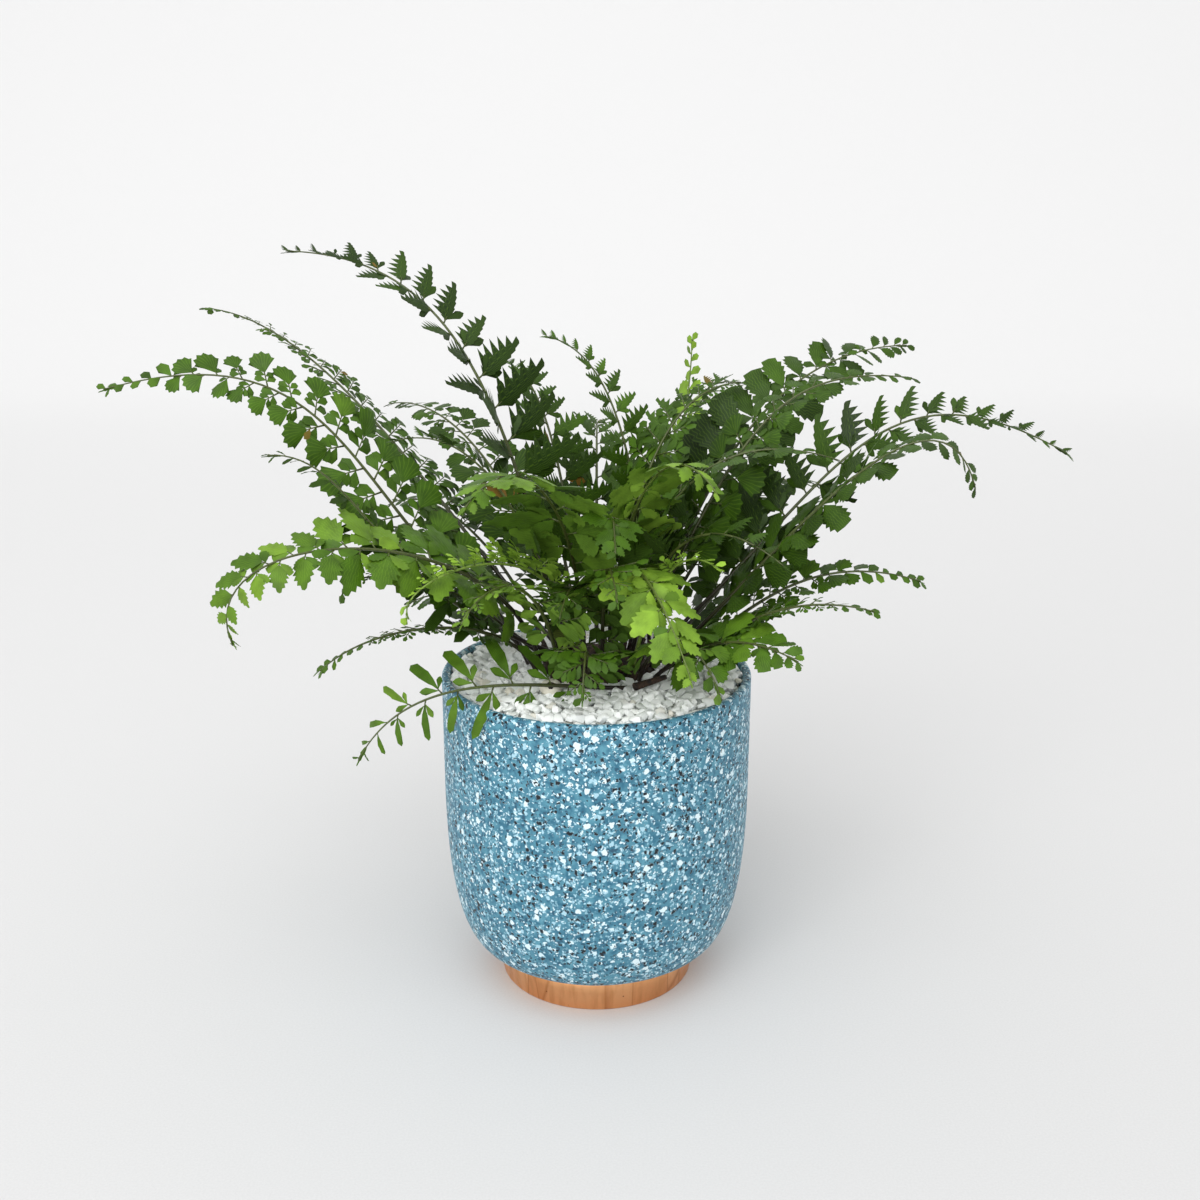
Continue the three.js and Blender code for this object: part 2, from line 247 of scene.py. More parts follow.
def painted_tone(tree):
    """The red, green and blue shares of the tone that is painted on a piece."""
    tone = add_node(tree, "ShaderNodeAttribute", attribute_name="tone").outputs["Color"]
    parts = add_node(tree, "ShaderNodeSeparateColor", {"Color": tone}).outputs
    return parts["Red"], parts["Green"], parts["Blue"]


def chips_in(tree, coordinates, size_mm, share, reach):
    """A mask of separate chips: `share` of the cells hold one, which fills its cell as far as `reach`."""
    cells = add_node(tree, "ShaderNodeTexVoronoi", {
        "Vector": coordinates, "Scale": per_metre(size_mm), "Randomness": 1.0})
    parts = add_node(tree, "ShaderNodeSeparateColor", {"Color": cells.outputs["Color"]}).outputs
    chosen = add_node(tree, "ShaderNodeMath", (parts["Red"], 1 - share), operation="GREATER_THAN")
    size = add_node(tree, "ShaderNodeMapRange", (parts["Green"], 0, 1, reach * 0.6, reach))
    inside = add_node(tree, "ShaderNodeMath", (size.outputs["Result"], cells.outputs["Distance"]),
                      operation="SUBTRACT")
    edge = add_node(tree, "ShaderNodeMapRange", (inside.outputs["Value"], -0.02, 0.03))
    both = add_node(tree, "ShaderNodeMath", (chosen.outputs["Value"], edge.outputs["Result"]),
                    operation="MULTIPLY")
    return both.outputs["Value"]


def terrazzo():
    """Cast cement with marble chips, ground but not polished: a matt teal ground, crowded pale chips."""
    made, tree, coordinates = new_material("cast_terrazzo")
    ragged = add_node(tree, "ShaderNodeTexNoise", {
        "Vector": coordinates, "Scale": per_metre(1.6), "Detail": 2.0})
    centred = add_node(tree, "ShaderNodeVectorMath", (ragged.outputs["Color"], (0.5, 0.5, 0.5)),
                       operation="SUBTRACT")
    shift = add_node(tree, "ShaderNodeVectorMath", {0: centred.outputs["Vector"], "Scale": CHIP_RAGGEDNESS},
                     operation="SCALE")
    broken = add_node(tree, "ShaderNodeVectorMath", (coordinates, shift.outputs["Vector"]), operation="ADD")
    _, clouds = lumps_and_spread(tree, coordinates, 3.5, 4.0, (0.35, 0.65))
    layers = [(clouds, "#5896ab")]
    for size_mm, share, reach, colour in TERRAZZO_CHIPS:
        layers.append((chips_in(tree, broken.outputs["Vector"], size_mm, share, reach), colour))
    grain, roughness = lumps_and_spread(tree, coordinates, 0.9, 3.0, (0.3, 0.7, 0.42, 0.62))
    bump = add_node(tree, "ShaderNodeBump", {"Height": grain, "Distance": 0.08 * MM, "Strength": 0.6})
    shade(tree, {"Base Color": layered(tree, "#2a6983", layers), "Roughness": roughness,
                 "Normal": bump.outputs["Normal"]})
    return made


def copper_leaf():
    """Thin copper leaf laid by hand over the cast foot: warm metal in upright sheets with fine pits."""
    made, tree, coordinates = new_material("copper_leaf")
    upright = add_node(tree, "ShaderNodeMapping", {"Vector": coordinates, "Scale": (1.0, 1.0, 0.12)})
    upright = upright.outputs["Vector"]
    cells = {"Vector": upright, "Scale": per_metre(24.0)}
    sheets = add_node(tree, "ShaderNodeTexVoronoi", cells)
    sheet = add_node(tree, "ShaderNodeSeparateColor", {"Color": sheets.outputs["Color"]})
    seams = add_node(tree, "ShaderNodeTexVoronoi", cells, feature="DISTANCE_TO_EDGE")
    seam = add_node(tree, "ShaderNodeMapRange", (seams.outputs["Distance"], 0.0, 0.02, 0.7, 0.0))
    _, streaks = lumps_and_spread(tree, upright, 3.0, 5.0, (0.45, 0.7))
    smears, roughness = lumps_and_spread(tree, coordinates, 3.0, 4.0, (0.3, 0.7, 0.28, 0.5))
    colour = layered(tree, "#e3a06c", [
        (sheet.outputs["Red"], "#eeb482"),
        (streaks, "#d99a66"),
        (seam.outputs["Result"], "#c07c4c"),
        (chips_in(tree, coordinates, 3.4, 0.16, 0.16), "#8a5330"),
    ])
    bump = add_node(tree, "ShaderNodeBump", {"Height": smears, "Distance": 0.25 * MM, "Strength": 0.5})
    shade(tree, {"Base Color": colour, "Metallic": 1.0, "Roughness": roughness,
                 "Normal": bump.outputs["Normal"]})
    return made


def marble_chips():
    """Crushed white marble: bright, matt, some chips creamy and some grey, with a sugary grain."""
    made, tree, coordinates = new_material("white_marble_chips")
    grey, cream, _ = painted_tone(tree)
    creamy = add_node(tree, "ShaderNodeMapRange", (cream, 0.9, 1.0, 0.0, 0.7))
    grain, roughness = lumps_and_spread(tree, coordinates, 1.2, 3.0, (0.3, 0.7, 0.5, 0.75))
    sugary = add_node(tree, "ShaderNodeMapRange", (grain, 0.5, 0.8, 0.0, 0.3))
    colour = layered(tree, "#fdfffd", [
        (grey, "#ecf0ed"),
        (creamy.outputs["Result"], "#e6dcc6"),
        (sugary.outputs["Result"], "#d9e0dc"),
    ])
    bump = add_node(tree, "ShaderNodeBump", {"Height": grain, "Distance": 0.12 * MM, "Strength": 0.5})
    shade(tree, {"Base Color": colour, "Specular IOR Level": 0.35, "Roughness": roughness,
                 "Normal": bump.outputs["Normal"]})
    return made


def potting_mix():
    """Damp peat and bark: nearly black, rough, with a few lighter fibres."""
    made, tree, coordinates = new_material("damp_peat_and_bark")
    crumbs, lighter = lumps_and_spread(tree, coordinates, 2.5, 6.0, (0.4, 0.7))
    bump = add_node(tree, "ShaderNodeBump", {"Height": crumbs, "Distance": 1.2 * MM, "Strength": 1.0})
    shade(tree, {"Base Color": layered(tree, "#1c1510", [(lighter, "#4a3826")]), "Roughness": 0.95,
                 "Normal": bump.outputs["Normal"]})
    return made


def scaly_rhizome():
    """Old leaf bases packed in dark papery scales: brown-black with dry tan edges."""
    made, tree, coordinates = new_material("scaly_rhizome")
    scales = add_node(tree, "ShaderNodeTexVoronoi", {"Vector": coordinates, "Scale": per_metre(3.0)})
    edge = add_node(tree, "ShaderNodeMapRange", (scales.outputs["Distance"], 0.25, 0.7))
    _, fibres = lumps_and_spread(tree, coordinates, 1.1, 4.0, (0.62, 0.75))
    colour = layered(tree, "#17100b", [(edge.outputs["Result"], "#3a2819"), (fibres, "#6b5236")])
    bump = add_node(tree, "ShaderNodeBump", {
        "Height": scales.outputs["Distance"], "Distance": 0.9 * MM, "Strength": 1.0})
    shade(tree, {"Base Color": colour, "Roughness": 0.8, "Normal": bump.outputs["Normal"]})
    return made


def leaf_surface(name, old, middle, young, roughness):
    """Living fern blade, waxy above: colour goes from old to young, with forked veins pressed into it."""
    made, tree, coordinates = new_material(name)
    age, chance, _ = painted_tone(tree)
    growing = add_node(tree, "ShaderNodeMapRange", (age, 0.0, 0.5))
    fresh = add_node(tree, "ShaderNodeMapRange", (age, 0.5, 1.0))
    _, blotches = lumps_and_spread(tree, coordinates, 7.0, 3.0, (0.35, 0.7, 0.0, 0.45))
    dry = add_node(tree, "ShaderNodeMapRange", (chance, 0.994, 0.998))
    uv = add_node(tree, "ShaderNodeUVMap", uv_map="leaf")
    veins = add_node(tree, "ShaderNodeTexWave", {
        "Vector": uv.outputs["UV"], "Scale": 2.6, "Distortion": 1.2, "Detail": 1.0}, bands_direction="X")
    ribs = add_node(tree, "ShaderNodeMapRange", (veins.outputs["Fac"], 0.8, 1.0, 0.0, 0.12))
    colour = layered(tree, old, [
        (growing.outputs["Result"], middle),
        (fresh.outputs["Result"], young),
        (blotches, old),
        (dry.outputs["Result"], "#7a5a24"),
        (ribs.outputs["Result"], young),
    ])
    _, waxy = lumps_and_spread(tree, coordinates, 4.0, 2.0, (0.3, 0.7, roughness - 0.07, roughness + 0.1))
    bump = add_node(tree, "ShaderNodeBump", {
        "Height": veins.outputs["Fac"], "Distance": 0.06 * MM, "Strength": 0.4})
    shade(tree, {"Base Color": colour, "Specular IOR Level": 0.22, "Roughness": waxy,
                 "Normal": bump.outputs["Normal"]})
    return made


def stipe_skin():
    """Wiry leaf stalk: nearly black and shiny at its foot, turning green where the blade begins."""
    made, tree, coordinates = new_material("wiry_stipe")
    age, _, distance = painted_tone(tree)
    green = add_node(tree, "ShaderNodeMapRange", (distance, 0.12, 0.5))
    fresh = add_node(tree, "ShaderNodeMapRange", (age, 0.6, 1.0, 0.0, 0.8))
    _, streaks = lumps_and_spread(tree, coordinates, 1.5, 3.0, (0.4, 0.7, 0.0, 0.5))
    colour = layered(tree, "#1d130d", [
        (green.outputs["Result"], "#4d5a26"),
        (fresh.outputs["Result"], "#8fb244"),
        (streaks, "#2c2413"),
    ])
    bump = add_node(tree, "ShaderNodeBump", {"Height": streaks, "Distance": 0.1 * MM, "Strength": 0.4})
    shade(tree, {"Base Color": colour, "Roughness": 0.35, "Normal": bump.outputs["Normal"]})
    return made


def studio_paper():
    """Pale seamless paper: matt, with a barely visible tooth; painted light and shade take it from grey in
    front to near white behind the plant.
    """
    made, tree, coordinates = new_material("studio_paper")
    place = add_node(tree, "ShaderNodeSeparateXYZ", {"Vector": coordinates})
    # Painted light and shade: the paper's colour runs from grey in front to near white behind, standing in
    # for how the lamps light the floor and the backdrop.
    painted_light_toward_back = add_node(tree, "ShaderNodeMapRange", (place.outputs["Y"], -1.0, 1.8))
    _, tooth = lumps_and_spread(tree, coordinates, 1.0, 2.0, (0.3, 0.7, 0.0, 0.1))
    colour = layered(tree, "#c3c3c3", [(painted_light_toward_back.outputs["Result"], "#f6f6f6"), (tooth, "#ffffff")])
    shade(tree, {"Base Color": colour, "Roughness": 0.9, "Specular IOR Level": 0.1})
    return made


# ---------------------------------------------------------------- shapes

def finished(name, bm, materials, replaced=()):
    """Turns a bmesh in millimetres into a piece in metres that rides on the body."""
    bmesh.ops.scale(bm, vec=(MM, MM, MM), verts=bm.verts)
    for face in bm.faces:
        face.smooth = True
    mesh = bpy.data.meshes.new(name)
    bm.to_mesh(mesh)
    bm.free()
    piece = bpy.data.objects.new(name, mesh)
    bpy.context.scene.collection.objects.link(piece)
    for material in materials:
        mesh.materials.append(material)
    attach(piece, "root")
    if replaced:
        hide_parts(*replaced)
    return piece


def cubic(points, share):
    """A point on the cubic curve steered by four points."""
    a, b, c, d = points
    rest = 1 - share
    return a * rest ** 3 + b * 3 * share * rest ** 2 + c * 3 * share ** 2 * rest + d * share ** 3


def belly(inset, floor_height, steps):
    """Profile points of the pot's belly, from the straight wall down to the underside."""
    wall_end = RIM_HEIGHT - STRAIGHT_WALL
    steering = [
        Vector((POT_RADIUS - inset, 0, wall_end)),
        Vector((POT_RADIUS - inset, 0, wall_end - BELLY_DROP + inset)),
        Vector((POT_FLOOR_RADIUS - inset + BELLY_RUN, 0, floor_height)),
        Vector((POT_FLOOR_RADIUS - inset, 0, floor_height)),
    ]
    return [cubic(steering, i / steps) for i in range(steps + 1)]


def spun(profile):
    """A closed solid turned about the pot's axis from profile points that start and end on the axis."""
    bm = bmesh.new()
    verts = [bm.verts.new(point) for point in profile]
    edges = [bm.edges.new(pair) for pair in zip(verts, verts[1:])]
    bmesh.ops.spin(bm, geom=verts + edges, cent=(0, 0, 0), axis=(0, 0, 1), angle=math.tau,
                   steps=AROUND, use_merge=True)
    bmesh.ops.remove_doubles(bm, verts=bm.verts, dist=1e-4)
    bmesh.ops.recalc_face_normals(bm, faces=bm.faces)
    return bm


def quarter_turn(centre_radius, centre_height, radius, start, end, steps=5):
    """Profile points on an arc, between two angles in degrees."""
    angles = [math.radians(start + (end - start) * i / steps) for i in range(steps + 1)]
    centre = Vector((centre_radius, 0, centre_height))
    return [centre + radius * Vector((math.cos(a), 0, math.sin(a))) for a in angles]


def pot_piece():
    outside = belly(0, FOOT_HEIGHT, 24)[::-1]
    inside = belly(WALL, FOOT_HEIGHT + POT_FLOOR, 14)
    lip = quarter_turn(POT_RADIUS - LIP, RIM_HEIGHT - LIP, LIP, 0, 90)
    lip += quarter_turn(POT_RADIUS - WALL + LIP, RIM_HEIGHT - LIP, LIP, 90, 180)
    underside, bottom = Vector((0, 0, FOOT_HEIGHT)), Vector((0, 0, FOOT_HEIGHT + POT_FLOOR))
    profile = [underside] + outside + lip + inside + [bottom]
    return finished("terrazzo_pot", spun(profile), [terrazzo()], ["pot_body"])


def foot_piece():
    chamfer = 0.8
    profile = [Vector((0, 0, 0)), Vector((FOOT_BASE_RADIUS - chamfer, 0, 0))]
    profile += quarter_turn(FOOT_BASE_RADIUS - chamfer, chamfer, chamfer, -80, 0, 4)
    profile += [Vector((FOOT_BASE_RADIUS + 1, 0, FOOT_HEIGHT / 2))]
    profile += [Vector((FOOT_TOP_RADIUS, 0, FOOT_HEIGHT)), Vector((0, 0, FOOT_HEIGHT))]
    return finished("copper_leafed_foot", spun(profile), [copper_leaf()], ["pot_foot"])


def shape_mesh(name, bm):
    """Keeps a small shape as a mesh that is copied wherever it repeats."""
    mesh = bpy.data.meshes.new(name)
    bm.to_mesh(mesh)
    bm.free()
    mesh.attributes.new("tone", "FLOAT_COLOR", "POINT")
    return mesh


def place_copy(bm, shape, matrix, tone):
    """Adds a copy of a small shape, moved by a matrix and with one tone for all its vertices."""
    copy = shape.copy()
    copy.transform(matrix)
    copy.attributes["tone"].data.foreach_set("color", list(tone) * len(copy.vertices))
    bm.from_mesh(copy)
    bpy.data.meshes.remove(copy)


def chip_shape(number, rng):
    """An angular crushed chip, wrapped round a few random points."""
    bm = bmesh.new()
    for _ in range(15):
        point = Vector((rng.gauss(0, 1), rng.gauss(0, 1), rng.gauss(0, 1))).normalized()
        bm.verts.new((point.x * 0.5, point.y * rng.uniform(0.36, 0.44), point.z * 0.32))
    hull = bmesh.ops.convex_hull(bm, input=bm.verts)
    bmesh.ops.delete(bm, geom=hull["geom_interior"], context="VERTS")
    for edge in bm.edges:
        edge.smooth = edge.calc_face_angle(0) < CHIP_EDGE
    return shape_mesh(f"chip_{number}", bm)


def dressing_height(distance):
    """Height of the top dressing's surface at a distance from the axis."""
    share = (distance - DRESSED_FROM) / (POT_RADIUS - WALL - DRESSED_FROM)
    return RIM_HEIGHT + DRESSING_RISE - DRESSING_FALL * share ** 1.5


def chips_piece(stone):
    """Beds of chips, laid on a jittered triangular grid between the crown and the wall."""
    rng = random.Random(SEED)
    shapes = [chip_shape(k, rng) for k in range(CHIP_SHAPES)]
    bm = bmesh.new()
    row_pitch = CHIP_PITCH * 0.87
    count = int(DRESSED_TO / CHIP_PITCH) + 2
    for depth in CHIP_BEDS:
        for row in range(-count, count + 1):
            for column in range(-count, count + 1):
                x = (column + 0.5 * (row % 2)) * CHIP_PITCH + rng.uniform(-CHIP_JITTER, CHIP_JITTER)
                y = row * row_pitch + rng.uniform(-CHIP_JITTER, CHIP_JITTER)
                distance = math.hypot(x, y)
                if not DRESSED_FROM < distance < DRESSED_TO:
                    continue
                turn = Matrix.Rotation(rng.uniform(0, math.tau), 4, "Z")
                lean = Matrix.Rotation(rng.gauss(0, 0.35), 4, (rng.uniform(-1, 1), rng.uniform(-1, 1), 0.1))
                size = CHIP_SIZE * rng.choice((0.8, 0.95, 1.05, 1.2, 1.35)) * rng.uniform(0.9, 1.1)
                z = dressing_height(distance) - depth + rng.uniform(-0.5, 0.5)
                matrix = Matrix.Translation((x, y, z)) @ lean @ turn @ Matrix.Diagonal((size, size, size, 1))
                place_copy(bm, rng.choice(shapes), matrix, (rng.random(), rng.random(), 0, 1))
    return finished("marble_chips", bm, [stone], ["pebble_layer"])


def crown_top(distance):
    """Height of the crown's surface at a distance from the axis."""
    return RIM_HEIGHT + CROWN_HEIGHT * (1 - (distance / CROWN_RADIUS) ** 2)


def crown_piece(rhizome):
    """A lumpy dome of packed rhizomes, with broken stalk ends standing on it."""
    rng = random.Random(SEED + 1)
    bm = bmesh.new()
    bmesh.ops.create_uvsphere(bm, u_segments=64, v_segments=32, radius=1.0)
    bmesh.ops.bisect_plane(bm, geom=bm.verts[:] + bm.edges[:] + bm.faces[:], plane_co=(0, 0, -0.02),
                           plane_no=(0, 0, -1), clear_outer=True)
    bmesh.ops.holes_fill(bm, edges=[e for e in bm.edges if e.is_boundary])
    base = RIM_HEIGHT - MIX_BELOW_RIM + 1
    for vert in bm.verts:
        knob = noise.noise(vert.co * 7) + 0.5 * noise.noise(vert.co * 17)
        radius = CROWN_SHOWN * (1 + 0.03 * knob)
        lift = (CROWN_HEIGHT + MIX_BELOW_RIM - 3) * (1 + 0.09 * knob)
        vert.co = Vector((vert.co.x * radius, vert.co.y * radius, base + max(vert.co.z, 0) * lift))
    for _ in range(BROKEN_STALKS):
        angle = rng.uniform(0, math.tau)
        distance = CROWN_SHOWN * math.sqrt(rng.uniform(0.02, 0.8))
        height = rng.uniform(4, 9)
        lean = Matrix.Rotation(rng.uniform(0.1, 0.7), 4, (-math.sin(angle), math.cos(angle), 0))
        foot = Vector((distance * math.cos(angle), distance * math.sin(angle), crown_top(distance) - 3))
        matrix = Matrix.Translation(foot) @ lean @ Matrix.Translation((0, 0, height / 2))
        bmesh.ops.create_cone(bm, cap_ends=True, segments=6, radius1=1.5, radius2=0.8, depth=height,
                              matrix=matrix)
    return finished("rhizome_crown", bm, [rhizome], ["crown"])


def round_pebble(stone, scar):
    """A cream pebble with a dark scar, lying on the chips at the front left."""
    bm = bmesh.new()
    bmesh.ops.create_icosphere(bm, subdivisions=3, radius=PEBBLE_RADIUS)
    for face in bm.faces:
        is_scar = face.calc_center_median().normalized().dot(PEBBLE_SCAR) > 0.93
        face.material_index = int(is_scar)
    tone = bm.verts.layers.float_color.new("tone")
    for vert in bm.verts:
        vert[tone] = (1, 1, 0, 1)
    flattened = Matrix.Translation(PEBBLE_PLACE) @ Matrix.Diagonal((1, 1, 0.8, 1))
    bmesh.ops.transform(bm, matrix=flattened, verts=bm.verts)
    return finished("round_pebble", bm, [stone, scar])


def stalk_stub(rhizome):
    """The dark broken foot of an old stalk, lying at the edge of the crown."""
    bm = bmesh.new()
    lying = (Matrix.Translation(FALLEN_STALK_PLACE) @ Matrix.Rotation(0.5, 4, "Z")
             @ Matrix.Rotation(1.45, 4, "Y"))
    bmesh.ops.create_cone(bm, cap_ends=True, segments=12, radius1=1.9, radius2=1.2, depth=17, matrix=lying)
    return finished("stalk_stub", bm, [rhizome])


# ---------------------------------------------------------------- leaflets

def leaflet_shape(name, columns, rows, place, mirrored=False):
    """A closed thin leaflet, its stalk end at the origin and its tip near +Y, one unit long.

    place(across, along) gives where a grid point goes, with across from -1 to 1 and along from 0 to 1."""
    bm = bmesh.new()
    bmesh.ops.create_grid(bm, x_segments=columns, y_segments=rows, size=1)
    uv = bm.loops.layers.uv.new("leaf")
    for face in bm.faces:
        for loop in face.loops:
            loop[uv].uv = (loop.vert.co.x / 2 + 0.5, loop.vert.co.y / 2 + 0.5)
    for vert in bm.verts:
        vert.co = place(vert.co.x, (vert.co.y + 1) / 2)
    if mirrored:
        bmesh.ops.scale(bm, vec=(-1, 1, 1), verts=bm.verts)
        bmesh.ops.reverse_faces(bm, faces=bm.faces)
    inner = [vert for vert in bm.verts if not vert.is_boundary]
    copy = bmesh.ops.duplicate(bm, geom=bm.verts[:] + bm.edges[:] + bm.faces[:])
    under = [part for part in copy["geom"] if isinstance(part, bmesh.types.BMFace)]
    bmesh.ops.reverse_faces(bm, faces=under)
    for face in under:
        face.material_index = 1
    for vert in inner:
        copy["vert_map"][vert].co.z -= LEAF_THICKNESS
    bmesh.ops.remove_doubles(bm, verts=bm.verts, dist=1e-4)
    bmesh.ops.dissolve_degenerate(bm, edges=bm.edges, dist=1e-5)
    for edge in bm.edges:
        edge.smooth = len({face.material_index for face in edge.link_faces}) == 1
    return shape_mesh(name, bm)


def swell(along, widest, bluntness):
    """Half-width of a leaflet along its length, 1 at its widest."""
    if along < widest:
        return 0.08 + 0.92 * math.sin(math.pi / 2 * along / widest) ** 1.25
    return max(0.0, math.cos(math.pi / 2 * (along - widest) / (1 - widest))) ** bluntness


def long_leaflet(name, halves, widest, bluntness, teeth, cuts, droop, mirrored=False):
    """A leaflet toothed along both margins. halves and cuts hold the width and the depth of the teeth on the
    footward side of the pinna, then on its tipward side."""
    rows = 2 * teeth

    def place(across, along):
        row = round(along * rows)
        cut = cuts[across > 0]
        is_notch = row % 2 == 0 and 0 < row < rows and across != 0
        half = halves[across > 0] * swell(along, widest, bluntness) * (1 - cut * is_notch)
        forward = 0 if is_notch or across == 0 or row == rows else (0.3 + 1.2 * cut) / rows
        x = across * half
        return Vector((x, along + forward, -droop * along ** 2 - 0.12 * abs(x)))

    return leaflet_shape(name, 2, rows, place, mirrored)


def fan_leaflet(name, spread, shoulder, teeth, cut, droop):
    """A wedge-shaped leaflet whose far margin is an arc of rounded teeth."""
    columns = 2 * teeth

    def place(across, along):
        column = round((across + 1) / 2 * columns)
        is_notch = along == 1 and column % 2 == 1
        radius = along ** 0.85 * (1 - shoulder * across ** 2) - cut * is_notch
        angle = math.radians(spread) * across
        x = radius * math.sin(angle)
        y = radius * math.cos(angle)
        return Vector((x, y, -droop * y * y - 0.25 * x * x))

    return leaflet_shape(name, columns, 2, place)


def make_leaflets():
    leaflets = {
        "fan": fan_leaflet("leaf_fan", 44, 0.2, 5, 0.1, 0.12),
        "obovate": fan_leaflet("leaf_obovate", 30, 0.34, 3, 0.07, 0.2),
        "narrow": fan_leaflet("leaf_narrow", 22, 0.3, 2, 0.06, 0.15),
        "lobe": fan_leaflet("leaf_lobe", 17, 0.3, 2, 0.05, 0.15),
        "round": long_leaflet("leaf_round", (0.34, 0.34), 0.62, 0.42, 6, (0.24, 0.24), 0.16),
        "rhombic": long_leaflet("leaf_rhombic", (0.37, 0.37), 0.42, 0.95, 6, (0.28, 0.28), 0.22),
        "strap": long_leaflet("leaf_strap", (0.13, 0.13), 0.66, 0.6, 3, (0.12, 0.12), 0.4),
        "point": long_leaflet("leaf_point", (0.1, 0.1), 0.3, 1.1, 4, (0.3, 0.3), 0.1),
    }
    for side, mirrored in (("left", False), ("right", True)):
        leaflets[f"comb_{side}"] = long_leaflet(
            f"leaf_comb_{side}", (0.13, 0.4), 0.26, 0.8, 7, (0.2, 0.66), 0.12, mirrored)
    return leaflets


# A pinna is a list of leaflets: (shape, distance up the pinna, turn in degrees, length). Distance and length
# are shares of the pinna's length.

def fan_pinna(length):
    if length < 9:
        return [("obovate", 0.0, 0, 1.0)]
    if length < 13:
        return [("fan", 0.12, 0, 0.88), ("obovate", 0.1, 62, 0.36)]
    parts = [("fan", 0.42, 0, 0.6)]
    for place, size in ((0.16, 0.36), (0.32, 0.3)):
        parts += [("obovate", place, 56, size), ("obovate", place + 0.04, -56, size * 0.95)]
    return parts


def comb_pinna(length, side):
    parts = [(f"comb_{side}", 0.04, 0, 0.96)]
    if length > 9:
        turn = -34 if side == "left" else 34
        parts += [("lobe", 0.1, turn, 0.44), ("lobe", 0.14, -turn * 1.3, 0.3)]
    return parts


def round_pinna(length):
    parts = [("round", 0.1, 0, 0.9)]
    if length > 13:
        parts += [("obovate", 0.08, 60, 0.42), ("obovate", 0.1, -60, 0.38)]
    return parts


def broad_pinna(length):
    if length < 12:
        return [("rhombic", 0.0, 0, 1.0)]
    return [("rhombic", 0.16, 0, 0.86), ("round", 0.1, 52, 0.44), ("round", 0.12, -52, 0.44)]


def strap_pinna(length):
    if length < 13:
        return [("strap", 0.0, 0, 1.0)]
    return [("strap", 0.06, 0, 0.94), ("lobe", 0.1, -40, 0.4), ("lobe", 0.14, 44, 0.34)]


def feather_pinna(length):
    if length < 6:
        return [("obovate", 0.0, 0, 1.0)]
    pairs = 4 if length > 15 else 3 if length > 10 else 2
    parts = [("obovate", 0.66, 0, 0.36)]
    for k in range(pairs):
        place = 0.1 + 0.62 * k / pairs
        size = 0.5 * (1 - 0.45 * k / pairs)
        parts += [("narrow", place, 46, size), ("narrow", place + 0.05, -46, size)]
    return parts


def pinna_parts(form, length, side):
    if form == "comb":
        return comb_pinna(length, side)
    makers = {"fan": fan_pinna, "round": round_pinna, "broad": broad_pinna, "strap": strap_pinna,
              "feather": feather_pinna, "curl": feather_pinna}
    return makers[form](length)


# ---------------------------------------------------------------- fronds

def even_points(steering):
    """Evenly spaced points along the cubic curve steered by four points, and the curve's length."""
    fine = [cubic(steering, i / (4 * ARC_STEPS)) for i in range(4 * ARC_STEPS + 1)]
    reached = [0.0]
    for a, b in zip(fine, fine[1:]):
        reached.append(reached[-1] + (b - a).length)
    length = reached[-1]
    points = []
    index = 0
    for i in range(ARC_STEPS + 1):
        wanted = length * i / ARC_STEPS
        while index < len(reached) - 2 and reached[index + 1] < wanted:
            index += 1
        share = (wanted - reached[index]) / (reached[index + 1] - reached[index])
        points.append(fine[index].lerp(fine[index + 1], share))
    return points, length


def frond_frames(row):
    """Points along the frond's arc, each with its across, face and forward directions, and the length of
    the arc."""
    heading, offset, root, rise, shoulder, tip, roll = row[:7]
    out = Vector((math.cos(math.radians(heading)), math.sin(math.radians(heading)), 0))
    side = Vector((-out.y, out.x, 0))
    root_height = crown_top(math.hypot(root, offset)) + 1.2

    def place(distance, height):
        return side * offset + out * distance + Vector((0, 0, height))

    steering = [place(root, root_height)] + [place(x, RIM_HEIGHT + z) for x, z in (rise, shoulder, tip)]
    points, length = even_points(steering)
    turn = math.radians(roll)
    frames = []
    for i, point in enumerate(points):
        along = (points[min(i + 1, ARC_STEPS)] - points[max(i - 1, 0)]).normalized()
        face = along.cross(side)
        frames.append((point, side * math.cos(turn) + face * math.sin(turn),
                       face * math.cos(turn) - side * math.sin(turn), along))
    return frames, length


def bend_along(bm, frames, length):
    """Carries every vertex from the flat frond space on to the frond's arc."""
    for vert in bm.verts:
        x, y, z = vert.co
        station = min(max(x / length, 0), 1) * ARC_STEPS
        first = min(int(station), ARC_STEPS - 1)
        share = station - first
        (p0, a0, f0, t0), (p1, a1, f1, t1) = frames[first], frames[first + 1]
        beyond = x - min(max(x, 0), length)
        vert.co = (p0.lerp(p1, share) + a0.lerp(a1, share) * y + f0.lerp(f1, share) * z
                   + t0.lerp(t1, share) * beyond)


def rachis_mesh(length, tone):
    """The stalk and midrib: a long thin cone, cut crosswise so that it can bend."""
    bm = bmesh.new()
    along_x = Matrix.Translation((length / 2, 0, 0)) @ Matrix.Rotation(math.pi / 2, 4, "Y")
    bmesh.ops.create_cone(bm, cap_ends=True, segments=RACHIS_SIDES, radius1=STIPE_RADIUS, radius2=TIP_RADIUS,
                          depth=length, matrix=along_x)
    lengthwise = [e for e in bm.edges if abs(e.verts[0].co.x - e.verts[1].co.x) > 1]
    bmesh.ops.subdivide_edges(bm, edges=lengthwise, cuts=RACHIS_CUTS)
    for face in bm.faces:
        face.material_index = 2
    layer = bm.verts.layers.float_color.new("tone")
    for vert in bm.verts:
        vert[layer] = (tone, 0.5, vert.co.x / length, 1)
    bm.loops.layers.uv.new("leaf")
    return bm


